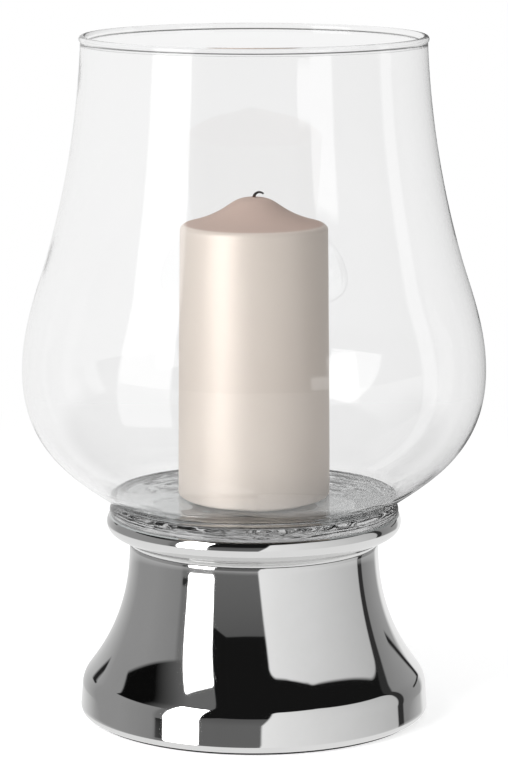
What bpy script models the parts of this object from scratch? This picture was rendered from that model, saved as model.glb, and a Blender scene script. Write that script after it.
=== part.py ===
"""A hurricane candle holder: a blown glass shade on a polished metal foot, with a pillar candle in it.

Every piece but the wick, the nut and the lock washer is turned about the Z axis. Its outline is drawn as (radius,
height) points in the piece's own frame, whose origin is the centre of its underside, and the pieces are then stacked.
Lengths are in metres. The floor is z = 0.
"""

import math

import bmesh
import bpy
from mathutils import Vector

MM = 0.001

# Fits
GAP = 0.3 * MM  # between faces that rest on each other
SHADE_CLEARANCE = 0.4 * MM  # between the heel of the glass and the ring round it

# Facets
SEGMENTS = 48  # round the turned pieces
SMALL_SEGMENTS = 24  # round the stud, the washers and the nut
SHARP_ANGLE = 32  # degrees, above which an edge is shaded sharp
FILLET_SHARE = 0.48  # of the shorter of the two sides that a fillet joins, which it takes at most

# Felt
FELT_THICKNESS = 1.0 * MM
FELT_WIDTH = 9.0 * MM
FELT_INSET = 1.2 * MM  # from both edges of the face that it is glued to

# Foot: a hollow column that flares down and turns over a soft edge into a band
FOOT_HEIGHT = 92.4 * MM  # from its underside to the top of its deck
FOOT_WALL = 3.5 * MM
COLUMN_RADIUS = 66.8 * MM
WAIST_DROP = 1.7 * MM  # from the top down to where the flare begins
FLARE_SLOPE = 44  # degrees off upright, at the foot of the flare
FLARE_PULL_TOP = 24.2 * MM
FLARE_PULL_FOOT = 13.5 * MM
TURN_RADIUS = 24.6 * MM  # of the soft edge between the flare and the band
BAND_HEIGHT = 14.9 * MM  # up to that edge
BAND_LEAN = 6.2  # degrees off upright
BAND_RADIUS = 93.5 * MM  # at its widest, just above the bottom edge
BAND_EDGE = 3.6 * MM  # radius of the bottom edge
RIM_THICKNESS = 3.0 * MM  # the underside turns in by this thickness, to carry the felt
DECK_THICKNESS = 4.0 * MM
DECK_FILLET = 5.0 * MM

# Collar ring: a rounded moulding over a cove, with a seat for the glass and a ledge for the dish
SEAT_HEIGHT = 15.0 * MM  # from the deck up to the flat that the glass stands on
RING_PROUD = 1.1 * MM  # how far it stands out past its edge round the glass
RING_ROUND = 3.8 * MM  # radius of its moulding
RING_ROUND_DROP = 2.0 * MM  # from the seat down to the middle of the moulding
RING_ROUND_FOOT = -48  # degrees above level, where the moulding runs out into the cove
COVE_SLOPE = 68  # degrees above level, at the cove's foot
DECK_SEAT = 8.0 * MM  # width that rests on the deck
RING_FOOT = 3.0 * MM  # height of the upright part of its bore
LEDGE_WIDTH = 5.0 * MM

# Dish: a shallow pan that lies flush in the ring
DISH_RADIUS = 74.0 * MM
DISH_THICKNESS = 3.0 * MM
DISH_DEPTH = 1.2 * MM
DISH_RIM_WIDTH = 29.0 * MM  # the flat round the pan
PAN_SLOPE_WIDTH = 15.0 * MM  # over which the pan sinks
BOSS_RADIUS = 11.0 * MM
BOSS_CLEARANCE = 1.5 * MM  # above the deck, so that the ring takes the clamping load

# Tie stud and what tightens it (M8)
STUD_RADIUS = 4.0 * MM
STUD_CHAMFER = 0.8 * MM
STUD_TAIL = 4.0 * MM  # below the nut
STUD_COVER = 2.2 * MM  # metal left between the stud's hole and the pan
DECK_HOLE_CLEARANCE = 0.5 * MM
FLAT_WASHER_RADIUS = 12.0 * MM
FLAT_WASHER_THICKNESS = 1.6 * MM
LOCK_WASHER_WIDTH = 3.1 * MM
LOCK_WASHER_THICKNESS = 2.0 * MM
LOCK_WASHER_SPLIT = 18  # degrees
NUT_ACROSS_FLATS = 13.0 * MM
NUT_HEIGHT = 6.5 * MM
NUT_CHAMFER = 0.9 * MM
NUT_CHAMFER_SLOPE = 30  # degrees

# Glass shade
SHADE_WALL = 2.2 * MM
SHADE_FLOOR = 8.8 * MM  # thickness of its bottom
SHADE_FLOOR_FILLET = 24.0 * MM
HEEL_RADIUS = 77.4 * MM  # the foot of the glass, at its widest
HEEL_HEIGHT = 2.6 * MM  # of that widest place
HEEL_ROUND = 1.6 * MM  # of its bottom edge
HEEL_SLOPE = -53  # degrees above level, where it leaves the throat
HEEL_PULL = 1.7 * MM
SHADE_FOOT_WIDTH = 15.0 * MM  # the flat ring that it stands on, round a hollow
SHADE_HOLLOW = 1.2 * MM  # depth of that hollow
THROAT_RADIUS = 75.0 * MM  # where the wall meets the heel
THROAT_HEIGHT = 6.9 * MM
THROAT_SLOPE = 34  # degrees above level
BULGE_RADIUS = 123.4 * MM  # the widest place
BULGE_HEIGHT = 77.7 * MM
SHOULDER_RADIUS = 109.6 * MM  # where the wall turns from bulging to hollow
SHOULDER_HEIGHT = 139.5 * MM
SHOULDER_LEAN = 16.1  # degrees off upright
MOUTH_RADIUS = 91.1 * MM  # outside, below the bead
MOUTH_LEAN = 2.0  # degrees off upright
MOUTH_BEAD = 1.75 * MM  # radius of the fire-polished rim
BEAD_WRAP = 35  # degrees below level, to which the bead goes round on both sides
SHADE_HEIGHT = 255.6 * MM
THROAT_PULL = 28.0 * MM  # the pulls set how far each stretch of wall keeps its end's direction
BULGE_PULL_DOWN = 40.0 * MM
BULGE_PULL_UP = 24.0 * MM
SHOULDER_PULL_DOWN = 18.6 * MM
SHOULDER_PULL_UP = 31.6 * MM
MOUTH_PULL = 43.5 * MM

# Candle
CANDLE_RADIUS = 40.7 * MM  # at its foot
CANDLE_TAPER = 1.4 * MM  # how much narrower it is at the shoulder
CANDLE_HEIGHT = 160.9 * MM  # to the top of the dome
CANDLE_ROUND = 3.4 * MM  # of the shoulder
CANDLE_FOOT_ROUND = 1.2 * MM
DOME_HEIGHT = 13.9 * MM
DOME_TOP_PULL = 13.0 * MM
DOME_RIM_PULL = 25.0 * MM
DOME_RIM_SLOPE = 14  # degrees below level

# Wick
WICK_RADIUS = 0.9 * MM
WICK_BURNT = 0.5  # share of its thickness left at the burnt tip
WICK_RISE = 1.8 * MM  # the burnt end rises by this much and bends over
WICK_REACH = 5.0 * MM
WICK_ARCH = 3.8 * MM  # height that the bend is pulled up to

# Where each piece stands
FOOT_Z = FELT_THICKNESS + GAP
RING_Z = FOOT_Z + FOOT_HEIGHT + GAP
DISH_Z = RING_Z + SEAT_HEIGHT - DISH_THICKNESS
SHADE_Z = RING_Z + SEAT_HEIGHT + GAP
CANDLE_Z = SHADE_Z + SHADE_FLOOR + GAP
FLAT_WASHER_Z = FOOT_Z + FOOT_HEIGHT - DECK_THICKNESS - GAP - FLAT_WASHER_THICKNESS
LOCK_WASHER_Z = FLAT_WASHER_Z - GAP - LOCK_WASHER_THICKNESS
NUT_Z = LOCK_WASHER_Z - GAP - NUT_HEIGHT
STUD_Z = NUT_Z - STUD_TAIL

# Radii that follow from a neighbour's
BAND_TOP_RADIUS = BAND_RADIUS - (BAND_HEIGHT - BAND_EDGE) * math.tan(math.radians(BAND_LEAN))
FELT_RADIUS = BAND_RADIUS - BAND_EDGE - FELT_INSET
RIM_INNER_RADIUS = FELT_RADIUS - FELT_WIDTH - FELT_INSET
DECK_HOLE_RADIUS = STUD_RADIUS + DECK_HOLE_CLEARANCE
EDGE_RADIUS = HEEL_RADIUS + SHADE_CLEARANCE
RING_RADIUS = EDGE_RADIUS + RING_PROUD


def arc(centre, radius, first, last, steps):
    """Points on a circle, from one angle to another in degrees, where 0 points outwards and 90 up."""
    points = []
    for i in range(steps + 1):
        angle = math.radians(first + (last - first) * i / steps)
        points.append((centre[0] + radius * math.cos(angle), centre[1] + radius * math.sin(angle)))
    return points


def cubic(start, start_handle, end_handle, end, steps):
    """Points on a cubic curve between two ends, each with a handle."""
    points = []
    for i in range(steps + 1):
        t = i / steps
        weights = ((1 - t) ** 3, 3 * t * (1 - t) ** 2, 3 * t * t * (1 - t), t**3)
        corners = (start, start_handle, end_handle, end)
        points.append(tuple(sum(w * p[axis] for w, p in zip(weights, corners)) for axis in (0, 1)))
    return points


def toward(point, length, degrees):
    """The point that lies this far away in this direction."""
    angle = math.radians(degrees)
    return (point[0] + length * math.cos(angle), point[1] + length * math.sin(angle))


def beside(points, distance):
    """The same line moved sideways, to the left of its direction for a positive distance."""
    moved = []
    for i, point in enumerate(points):
        before = Vector(points[max(i - 1, 0)])
        after = Vector(points[min(i + 1, len(points) - 1)])
        along = (after - before).normalized()
        moved.append((point[0] - distance * along.y, point[1] + distance * along.x))
    return moved


def fillet(before, corner, after, radius, steps=3):
    """The corner between two straight sides, rounded. The radius is held to what the shorter side has room for."""
    corner = Vector(corner)
    back = Vector(before) - corner
    ahead = Vector(after) - corner
    half = back.angle(ahead) / 2
    reach = min(radius / math.tan(half), FILLET_SHARE * back.length, FILLET_SHARE * ahead.length)
    radius = reach * math.tan(half)
    start = corner + back.normalized() * reach
    end = corner + ahead.normalized() * reach
    middle = corner + (back.normalized() + ahead.normalized()).normalized() * (radius / math.sin(half))
    first = math.atan2(start.y - middle.y, start.x - middle.x)
    last = math.atan2(end.y - middle.y, end.x - middle.x)
    turn = (last - first + math.pi) % (2 * math.pi) - math.pi
    return arc(middle, radius, math.degrees(first), math.degrees(first + turn), steps)


def new_object(name, data):
    obj = bpy.data.objects.new(name, data)
    bpy.context.collection.objects.link(obj)
    return obj


def mesh_object(name, shape):
    """An object made from a bmesh, which is then freed."""
    mesh = bpy.data.meshes.new(name)
    shape.to_mesh(mesh)
    shape.free()
    return new_object(name, mesh)


def settled(obj):
    """Makes the shape that an object's modifiers give its own mesh, smooth but for its sharp edges."""
    graph = bpy.context.evaluated_depsgraph_get()
    mesh = bpy.data.meshes.new_from_object(obj.evaluated_get(graph))
    mesh.name = obj.name
    obj.modifiers.clear()
    obj.data = mesh
    mesh.shade_smooth()
    mesh.set_sharp_from_angle(angle=math.radians(SHARP_ANGLE))
    return obj


def turned(name, outline, closed, segments=SEGMENTS):
    """A solid of revolution. The outline runs down its outer side, and is closed or starts and ends on the axis."""
    shape = bmesh.new()
    points = [shape.verts.new((radius, 0, height)) for radius, height in outline]
    for first, second in zip(points, points[1:]):
        shape.edges.new((first, second))
    if closed:
        shape.edges.new((points[-1], points[0]))
    obj = mesh_object(name, shape)
    screw = obj.modifiers.new("Turn", "SCREW")
    screw.axis = "Z"
    screw.steps = segments
    screw.render_steps = segments
    screw.use_merge_vertices = True
    screw.merge_threshold = 0.000001
    return settled(obj)


def cut(obj, cutter, operation):
    """Cuts an object with another, which is then kept with the cutters."""
    boolean = obj.modifiers.new("Cut", "BOOLEAN")
    boolean.operation = operation
    boolean.object = cutter
    settled(obj)
    cutter.hide_render = True
    cutter.display_type = "WIRE"
    bpy.context.collection.objects.unlink(cutter)
    cutters.objects.link(cutter)
    return obj


def material(name, colour, metallic, roughness, transmission=0.0):
    made = bpy.data.materials.new(name)
    made.use_nodes = True
    shader = made.node_tree.nodes["Principled BSDF"]
    shader.inputs["Base Color"].default_value = (*colour, 1)
    shader.inputs["Metallic"].default_value = metallic
    shader.inputs["Roughness"].default_value = roughness
    shader.inputs["Transmission Weight"].default_value = transmission
    made.diffuse_color = (*colour, 1)
    made.metallic = metallic
    made.roughness = roughness
    return made


def collection(name):
    made = bpy.data.collections.new(name)
    bpy.context.scene.collection.children.link(made)
    return made


def frame(name, parent, height):
    """An empty on the Z axis, which a body's pieces hang from."""
    made = new_object(name, None)
    made.empty_display_size = 20 * MM
    made.parent = parent
    made.location = (0, 0, height)
    return made


def place(obj, parent, height, finish):
    obj.parent = parent
    obj.location = (0, 0, height)
    obj.data.materials.clear()
    obj.data.materials.append(finish)


def make_felt_ring():
    inner = FELT_RADIUS - FELT_WIDTH
    outline = [(inner, FELT_THICKNESS), (FELT_RADIUS, FELT_THICKNESS), (FELT_RADIUS, 0), (inner, 0)]
    return turned("felt_ring", outline, closed=True)


def flare(flare_steps, turn_steps):
    """The foot's outside from the waist down: it sweeps out hollow, then turns over a soft edge to the band."""
    waist = (COLUMN_RADIUS, FOOT_HEIGHT - WAIST_DROP)
    turn_centre = toward((BAND_TOP_RADIUS, BAND_HEIGHT), TURN_RADIUS, 180 + BAND_LEAN)
    turn = arc(turn_centre, TURN_RADIUS, FLARE_SLOPE, BAND_LEAN, turn_steps)
    flare_foot = toward(turn[0], FLARE_PULL_FOOT, 90 + FLARE_SLOPE)
    return cubic(waist, toward(waist, FLARE_PULL_TOP, -90), flare_foot, turn[0], flare_steps) + turn[1:]


def make_foot():
    under_deck = FOOT_HEIGHT - DECK_THICKNESS
    inside = beside(flare(4, 2), -FOOT_WALL)
    inside_foot = inside[-1][0] + (inside[-1][1] - RIM_THICKNESS) * math.tan(math.radians(BAND_LEAN))
    inside = [point for point in inside if point[1] < under_deck - DECK_FILLET]
    corner = (COLUMN_RADIUS - FOOT_WALL, under_deck)
    hole_edge = (DECK_HOLE_RADIUS, under_deck)
    outline = [(DECK_HOLE_RADIUS, FOOT_HEIGHT), (COLUMN_RADIUS, FOOT_HEIGHT)]
    outline += flare(7, 4)
    outline += arc((BAND_RADIUS - BAND_EDGE, BAND_EDGE), BAND_EDGE, 0, -90, 4)
    outline += [(RIM_INNER_RADIUS, 0), (RIM_INNER_RADIUS, RIM_THICKNESS), (inside_foot, RIM_THICKNESS)]
    outline += reversed(inside)
    outline += fillet(inside[0], corner, hole_edge, DECK_FILLET)
    outline += [hole_edge]
    return turned("foot", outline, closed=True)


def make_collar_ring():
    """Its edge stands up round the heel of the glass, and the dish lies in the recess inside."""
    round_centre = (RING_RADIUS - RING_ROUND, SEAT_HEIGHT - RING_ROUND_DROP)
    edge_angle = math.degrees(math.acos(1 - RING_PROUD / RING_ROUND))
    moulding = arc(round_centre, RING_ROUND, edge_angle, RING_ROUND_FOOT, 6)
    cove_end = (COLUMN_RADIUS, 0)
    cove = cubic(
        moulding[-1],
        toward(moulding[-1], RING_ROUND, RING_ROUND_FOOT - 90),
        toward(cove_end, RING_ROUND, COVE_SLOPE),
        cove_end,
        4,
    )
    recess = DISH_RADIUS + GAP
    ledge = SEAT_HEIGHT - DISH_THICKNESS - GAP
    bore_foot = COLUMN_RADIUS - DECK_SEAT
    outline = [(recess, SEAT_HEIGHT), (EDGE_RADIUS, SEAT_HEIGHT)]
    outline += moulding
    outline += cove[1:]
    outline += [(bore_foot, 0), (bore_foot, RING_FOOT)]
    outline += [(recess - LEDGE_WIDTH, ledge), (recess, ledge)]
    return turned("collar_ring", outline, closed=True)


def make_dish():
    pan = DISH_THICKNESS - DISH_DEPTH
    under_pan = -DISH_DEPTH
    rim_inner = DISH_RADIUS - DISH_RIM_WIDTH
    pan_radius = rim_inner - PAN_SLOPE_WIDTH
    halfway = (rim_inner + pan_radius) / 2
    slope = cubic((pan_radius, pan), (halfway, pan), (halfway, DISH_THICKNESS), (rim_inner, DISH_THICKNESS), 5)
    boss_foot = FOOT_Z + FOOT_HEIGHT + BOSS_CLEARANCE - DISH_Z
    hole = STUD_RADIUS + GAP
    hole_top = pan - STUD_COVER
    outline = [(0, pan)] + slope
    outline += [(DISH_RADIUS, DISH_THICKNESS), (DISH_RADIUS, 0), (rim_inner, 0), (pan_radius, under_pan)]
    outline += [(BOSS_RADIUS, under_pan), (BOSS_RADIUS, boss_foot), (hole, boss_foot)]
    outline += [(hole, hole_top), (0, hole_top)]
    return turned("dish", outline, closed=False)


def make_tie_stud():
    """It ends a gap below the top of its hole in the dish's boss."""
    hole_top = DISH_Z + DISH_THICKNESS - DISH_DEPTH - STUD_COVER
    length = hole_top - GAP - STUD_Z
    shank = STUD_RADIUS - STUD_CHAMFER
    outline = [(0, length), (shank, length), (STUD_RADIUS, length - STUD_CHAMFER)]
    outline += [(STUD_RADIUS, STUD_CHAMFER), (shank, 0), (0, 0)]
    return turned("tie_stud", outline, closed=False, segments=SMALL_SEGMENTS)


def make_flat_washer():
    outline = [(DECK_HOLE_RADIUS, FLAT_WASHER_THICKNESS), (FLAT_WASHER_RADIUS, FLAT_WASHER_THICKNESS)]
    outline += [(FLAT_WASHER_RADIUS, 0), (DECK_HOLE_RADIUS, 0)]
    return turned("flat_washer", outline, closed=True, segments=SMALL_SEGMENTS)


def make_lock_washer():
    """A ring of square wire with a split, as it lies when tightened flat."""
    inner = STUD_RADIUS + GAP
    outer = inner + LOCK_WASHER_WIDTH
    corners = [(inner, 0), (outer, 0), (outer, LOCK_WASHER_THICKNESS), (inner, LOCK_WASHER_THICKNESS)]
    shape = bmesh.new()
    face = shape.faces.new([shape.verts.new((radius, 0, height)) for radius, height in corners])
    bmesh.ops.spin(
        shape,
        geom=[face, *face.edges, *face.verts],
        axis=(0, 0, 1),
        angle=math.radians(360 - LOCK_WASHER_SPLIT),
        steps=SMALL_SEGMENTS,
    )
    bmesh.ops.recalc_face_normals(shape, faces=shape.faces)
    return settled(mesh_object("lock_washer", shape))


def make_hex_nut():
    """A hexagonal bar with a bore, its corners turned off at both ends."""
    corner_radius = NUT_ACROSS_FLATS / math.sqrt(3)
    shape = bmesh.new()
    bmesh.ops.create_cone(
        shape, cap_ends=True, segments=6, radius1=corner_radius, radius2=corner_radius, depth=NUT_HEIGHT
    )
    bmesh.ops.translate(shape, vec=(0, 0, NUT_HEIGHT / 2), verts=shape.verts)
    bore = STUD_RADIUS + GAP
    inside = corner_radius - NUT_CHAMFER
    outside = corner_radius + NUT_CHAMFER
    drop = (outside - inside) * math.tan(math.radians(NUT_CHAMFER_SLOPE))
    turning = [(bore, NUT_HEIGHT + GAP), (inside, NUT_HEIGHT + GAP), (inside, NUT_HEIGHT)]
    turning += [(outside, NUT_HEIGHT - drop), (outside, drop)]
    turning += [(inside, 0), (inside, -GAP), (bore, -GAP)]
    cutter = turned("nut_turning", turning, closed=True, segments=SMALL_SEGMENTS)
    return cut(mesh_object("hex_nut", shape), cutter, "INTERSECT")


def shade_heel():
    """The shade's outside from the throat down: a short rounded foot, to its bottom edge."""
    throat = (THROAT_RADIUS, THROAT_HEIGHT)
    widest = (HEEL_RADIUS, HEEL_HEIGHT)
    side = cubic(throat, toward(throat, HEEL_PULL, HEEL_SLOPE), toward(widest, HEEL_PULL, 90), widest, 4)
    return side + fillet(widest, (HEEL_RADIUS, 0), (0, 0), HEEL_ROUND)


def shade_wall():
    """The shade's outside from the throat up: out to the bulge, in over the shoulder, and up to the mouth."""
    throat = (THROAT_RADIUS, THROAT_HEIGHT)
    bulge = (BULGE_RADIUS, BULGE_HEIGHT)
    shoulder = (SHOULDER_RADIUS, SHOULDER_HEIGHT)
    mouth = (MOUTH_RADIUS, SHADE_HEIGHT - MOUTH_BEAD)
    bulge_low = toward(bulge, BULGE_PULL_DOWN, -90)
    bulge_high = toward(bulge, BULGE_PULL_UP, 90)
    shoulder_low = toward(shoulder, SHOULDER_PULL_DOWN, SHOULDER_LEAN - 90)
    shoulder_high = toward(shoulder, SHOULDER_PULL_UP, SHOULDER_LEAN + 90)
    wall = cubic(throat, toward(throat, THROAT_PULL, THROAT_SLOPE), bulge_low, bulge, 10)
    wall += cubic(bulge, bulge_high, shoulder_low, shoulder, 5)[1:]
    wall += cubic(shoulder, shoulder_high, toward(mouth, MOUTH_PULL, MOUTH_LEAN - 90), mouth, 5)[1:]
    return wall


def make_glass_shade():
    """One wall of even thickness on a thick bottom, closed at the mouth by a melted bead."""
    wall = shade_wall()
    inner_throat = toward(wall[0], SHADE_WALL, THROAT_SLOPE + 90)
    rise = SHADE_FLOOR - inner_throat[1]
    corner = (inner_throat[0] + rise / math.tan(math.radians(THROAT_SLOPE)), SHADE_FLOOR)
    up_the_wall = toward(corner, BULGE_RADIUS - THROAT_RADIUS, THROAT_SLOPE)
    floor = fillet((0, SHADE_FLOOR), corner, up_the_wall, SHADE_FLOOR_FILLET)
    inside = beside(wall, SHADE_WALL)[1:-1]
    bead_centre = (MOUTH_RADIUS - SHADE_WALL / 2, SHADE_HEIGHT - MOUTH_BEAD)
    stand = (HEEL_RADIUS - SHADE_FOOT_WIDTH, 0)
    arch = (stand[0] / 2, SHADE_HOLLOW)
    outline = [(0, SHADE_FLOOR)] + floor
    outline += [point for point in inside if point[0] > floor[-1][0]]
    outline += arc(bead_centre, MOUTH_BEAD, 180 + BEAD_WRAP, -BEAD_WRAP, 6)
    outline += reversed(wall[1:-1])
    outline += shade_heel()
    outline += cubic(stand, arch, arch, (0, SHADE_HOLLOW), 4)
    return turned("glass_shade", outline, closed=False)


def make_candle_wax():
    bore = WICK_RADIUS + GAP
    shoulder_radius = CANDLE_RADIUS - CANDLE_TAPER
    top = (bore, CANDLE_HEIGHT)
    dome_rim = (shoulder_radius - CANDLE_ROUND, CANDLE_HEIGHT - DOME_HEIGHT)
    side_top = (shoulder_radius, dome_rim[1] - CANDLE_ROUND)
    dome_handle = toward(dome_rim, DOME_RIM_PULL, 180 - DOME_RIM_SLOPE)
    rim_handle = toward(dome_rim, CANDLE_ROUND / 2, -DOME_RIM_SLOPE)
    side_handle = toward(side_top, CANDLE_ROUND / 2, 90)
    outline = cubic(top, toward(top, DOME_TOP_PULL, 0), dome_handle, dome_rim, 7)
    outline += cubic(dome_rim, rim_handle, side_handle, side_top, 3)[1:]
    outline += fillet(side_top, (CANDLE_RADIUS, 0), (bore, 0), CANDLE_FOOT_ROUND, 2)
    outline += [(bore, 0)]
    return turned("candle_wax", outline, closed=True)


def make_candle_wick():
    """A cord up the candle's bore. Its burnt end thins and bends over in the XZ plane."""
    leaves = (0, CANDLE_HEIGHT)
    tip = (WICK_REACH, CANDLE_HEIGHT + WICK_RISE)
    burnt = cubic(
        leaves,
        (0, CANDLE_HEIGHT + WICK_RISE),
        (WICK_REACH / 2, CANDLE_HEIGHT + WICK_ARCH),
        tip,
        8,
    )
    curve = bpy.data.curves.new("candle_wick", "CURVE")
    curve.dimensions = "3D"
    curve.bevel_depth = WICK_RADIUS
    curve.bevel_resolution = 2
    curve.use_fill_caps = True
    line = curve.splines.new("POLY")
    line.points.add(len(burnt))
    line.points[0].co = (0, 0, WICK_RADIUS, 1)
    for i, (across, height) in enumerate(burnt):
        point = line.points[i + 1]
        point.co = (across, 0, height, 1)
        point.radius = 1 - (1 - WICK_BURNT) * i / (len(burnt) - 1)
    return new_object("candle_wick", curve)


for old in list(bpy.data.objects):
    bpy.data.objects.remove(old)

parts = collection("hurricane_candle_holder")
cutters = collection("cutters")
cutters.hide_render = True
view = bpy.context.view_layer
view.active_layer_collection = view.layer_collection.children[parts.name]

plated = material("polished_nickel_plate", (0.72, 0.71, 0.69), 1.0, 0.04)
steel = material("zinc_plated_steel", (0.55, 0.56, 0.58), 1.0, 0.35)
felt = material("black_felt", (0.012, 0.012, 0.013), 0.0, 0.95)
glass = material("clear_glass", (1.0, 1.0, 1.0), 0.0, 0.0, transmission=1.0)
wax = material("pearl_wax", (0.72, 0.64, 0.56), 0.25, 0.35)
cotton = material("burnt_cotton", (0.03, 0.028, 0.026), 0.0, 0.9)

# The foot stands on the floor, the shade lifts straight up off it, and the candle lifts straight out of the shade.
base_frame = frame("base_frame", None, 0)
shade_frame = frame("shade_frame", base_frame, SHADE_Z)
candle_frame = frame("candle_frame", shade_frame, CANDLE_Z - SHADE_Z)

place(make_felt_ring(), base_frame, 0, felt)
place(make_foot(), base_frame, FOOT_Z, plated)
place(make_collar_ring(), base_frame, RING_Z, plated)
place(make_dish(), base_frame, DISH_Z, plated)
place(make_tie_stud(), base_frame, STUD_Z, steel)
place(make_flat_washer(), base_frame, FLAT_WASHER_Z, steel)
place(make_lock_washer(), base_frame, LOCK_WASHER_Z, steel)
place(make_hex_nut(), base_frame, NUT_Z, steel)
place(make_glass_shade(), shade_frame, 0, glass)
place(make_candle_wax(), candle_frame, 0, wax)
place(make_candle_wick(), candle_frame, 0, cotton)
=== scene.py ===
# %% [markdown]
# # A hurricane candle holder
#
# The real object is a wide blown glass on a short mirror-polished foot, with a pillar candle standing in the glass.
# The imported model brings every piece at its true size, in metres, with the floor at z = 0 and the axis of the holder
# on Z. This lesson dresses it: nearly every piece is a turned form, so one lathe does most of the modelling, and the
# looks are a matter of glass, mirror metal and pearl wax in a white studio.

import math

import bmesh
import bpy
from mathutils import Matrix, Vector


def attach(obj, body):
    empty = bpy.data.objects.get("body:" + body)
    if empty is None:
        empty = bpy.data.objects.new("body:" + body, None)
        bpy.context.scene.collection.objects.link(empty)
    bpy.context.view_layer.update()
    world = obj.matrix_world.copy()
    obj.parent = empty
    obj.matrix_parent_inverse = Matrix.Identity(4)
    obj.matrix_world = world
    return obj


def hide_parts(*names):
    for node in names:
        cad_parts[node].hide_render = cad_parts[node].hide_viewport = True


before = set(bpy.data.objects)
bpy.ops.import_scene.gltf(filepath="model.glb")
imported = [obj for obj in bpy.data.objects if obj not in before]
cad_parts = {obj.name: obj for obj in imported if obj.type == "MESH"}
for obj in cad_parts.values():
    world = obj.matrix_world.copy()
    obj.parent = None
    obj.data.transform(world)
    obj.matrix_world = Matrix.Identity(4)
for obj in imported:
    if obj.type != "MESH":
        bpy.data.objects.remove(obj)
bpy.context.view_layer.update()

# %% [markdown]
# ## The camera
#
# The photograph looks down on the holder by about ten degrees. The ellipses of the rim, the dish and the foot give
# the distance: the rim is seen nearly edge on and the foot is seen wide open, which needs a camera about 1.8
# metres away. The picture is taller than it is wide, so the sensor's 36 mm lie along its height.

# %% Camera
MM = 0.001
CAMERA_PLACE = (0, -1.807, 0.4966)
CAMERA_PITCH = 10.04  # degrees below level
LENS = 159.4
SENSOR = 36
SIGHT = 20  # metres, past which the sweep is plain white anyway

camera = bpy.data.objects.new("camera", bpy.data.cameras.new("camera"))
bpy.context.scene.collection.objects.link(camera)
camera.data.lens = LENS
camera.data.sensor_width = SENSOR
camera.data.clip_end = SIGHT
camera.location = CAMERA_PLACE
camera.rotation_euler = (math.radians(90 - CAMERA_PITCH), 0, 0)
bpy.context.scene.camera = camera
print("camera:", LENS, "mm lens,", CAMERA_PITCH, "degrees down")

# %% [markdown]
# ## Drawing outlines
#
# A lathe needs an outline: a list of (radius, height) points that runs down the outside of a piece. It could be typed
# in point by point, but a maker thinks in arcs, fillets and curves pulled by handles, so a few small helpers draw
# those. Angles are in degrees, with 0 pointing away from the axis and 90 pointing up.


# %% Arcs and curves
def toward(point, length, degrees):
    angle = math.radians(degrees)
    return (point[0] + length * math.cos(angle), point[1] + length * math.sin(angle))


def arc(centre, radius, first, last, steps):
    return [toward(centre, radius, first + (last - first) * i / steps) for i in range(steps + 1)]


def curve(start, start_handle, end_handle, end, steps):
    """A cubic curve between two points, each with a handle."""
    corners = (start, start_handle, end_handle, end)
    points = []
    for i in range(steps + 1):
        t = i / steps
        weights = ((1 - t) ** 3, 3 * t * (1 - t) ** 2, 3 * t * t * (1 - t), t**3)
        points.append(tuple(sum(w * p[axis] for w, p in zip(weights, corners)) for axis in (0, 1)))
    return points


# %% Fillets and lines beside a line
FILLET_SHARE = 0.48  # of either side, the most that a fillet may take


def fillet(before, corner, after, radius, steps=8):
    """The corner between two straight sides, rounded."""
    corner = Vector(corner)
    back = Vector(before) - corner
    ahead = Vector(after) - corner
    half = back.angle(ahead) / 2
    reach = min(radius / math.tan(half), FILLET_SHARE * back.length, FILLET_SHARE * ahead.length)
    radius = reach * math.tan(half)
    start = corner + back.normalized() * reach
    end = corner + ahead.normalized() * reach
    middle = corner + (back.normalized() + ahead.normalized()).normalized() * (radius / math.sin(half))
    first = math.degrees(math.atan2(start.y - middle.y, start.x - middle.x))
    last = math.degrees(math.atan2(end.y - middle.y, end.x - middle.x))
    turn = (last - first + 180) % 360 - 180
    return arc(middle, radius, first, first + turn, steps)


def beside(points, distance):
    """The same line moved sideways, to the left of its direction for a positive distance."""
    moved = []
    for i, point in enumerate(points):
        along = Vector(points[min(i + 1, len(points) - 1)]) - Vector(points[max(i - 1, 0)])
        along.normalize()
        moved.append((point[0] - distance * along.y, point[1] + distance * along.x))
    return moved


def between(start, end, share):
    return tuple(a + (b - a) * share for a, b in zip(start, end))


def raised(points, height):
    return [(radius, z + height) for radius, z in points]


# %% [markdown]
# ## The lathe
#
# Blender's Screw modifier could turn an outline, but a finished mesh is wanted, so the spin operator does it: the
# outline's edges are swept once round the Z axis and merged where they meet. Points on the axis come out as many
# doubles, which are merged before the normals are made to point outwards. Mirror metal shows every facet, so the
# lathe takes 256 steps round.

# %% Lathe
STEPS_ROUND = 256
DOUBLES = 0.001 * MM
CREASE = 30  # degrees, above which an edge is shaded sharp


def finished(name, shape):
    """Turns a bmesh into an object at the origin, smooth but for its creases."""
    bmesh.ops.remove_doubles(shape, verts=shape.verts, dist=DOUBLES)
    bmesh.ops.recalc_face_normals(shape, faces=shape.faces)
    mesh = bpy.data.meshes.new(name)
    shape.to_mesh(mesh)
    shape.free()
    mesh.shade_smooth()
    mesh.set_sharp_from_angle(angle=math.radians(CREASE))
    piece = bpy.data.objects.new(name, mesh)
    bpy.context.scene.collection.objects.link(piece)
    return piece


def turned(name, outline, closed=True):
    shape = bmesh.new()
    points = [shape.verts.new((radius, 0, height)) for radius, height in outline]
    for first, second in zip(points, points[1:]):
        shape.edges.new((first, second))
    if closed:
        shape.edges.new((points[-1], points[0]))
    bmesh.ops.spin(
        shape,
        geom=list(shape.verts) + list(shape.edges),
        axis=(0, 0, 1),
        angle=math.radians(360),
        steps=STEPS_ROUND,
        use_merge=True,
    )
    piece = finished(name, shape)
    print(name, len(piece.data.polygons), "faces,", len(outline), "points in its outline")
    return piece


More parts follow.
